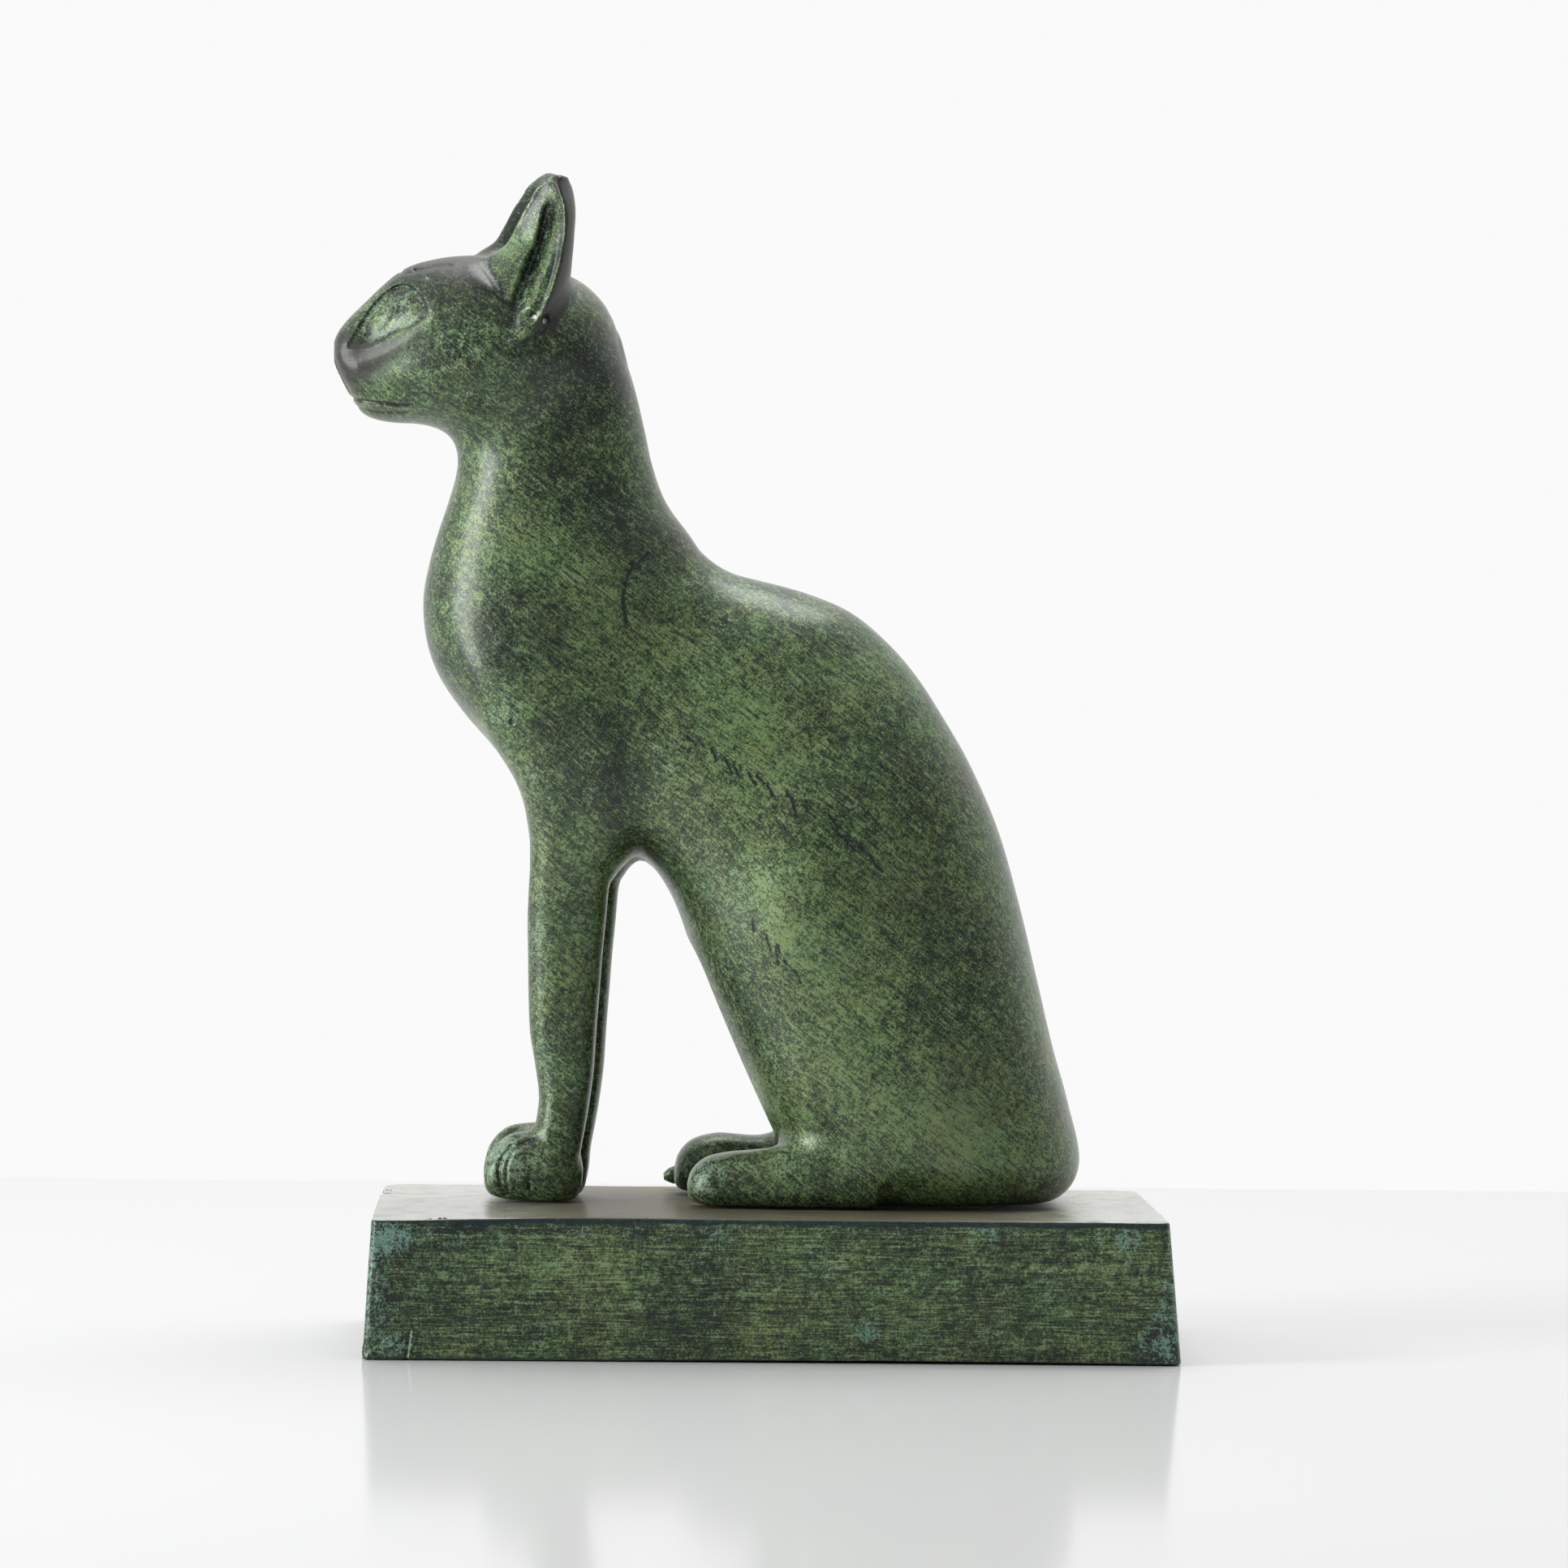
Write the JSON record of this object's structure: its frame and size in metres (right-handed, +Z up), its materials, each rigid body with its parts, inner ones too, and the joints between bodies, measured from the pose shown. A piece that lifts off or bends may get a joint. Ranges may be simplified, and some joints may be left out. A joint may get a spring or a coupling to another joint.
{
  "type": "bastet cat figure",
  "caption": "Seated cat in green patinated bronze, ears up and tail laid along one side, on a low rectangular bronze plinth.",
  "frame": {"origin": "the middle of the whole figure's bounding box seen from above, on the surface it stands on", "axes": "+Z up; the cat faces -X, and its tail lies on its right side, towards +Y"},
  "size_m": [0.2114, 0.0962, 0.2937],
  "materials": {
    "plinth_bronze": "bronze with a satin green patina, worn pale on the top face",
    "cat_bronze": "bronze with a satin mottled green patina over finely brushed metal"
  },
  "bodies": {
    "root": {"plinth": "plinth_bronze", "cat": "cat_bronze"}
  },
  "joints": []
}
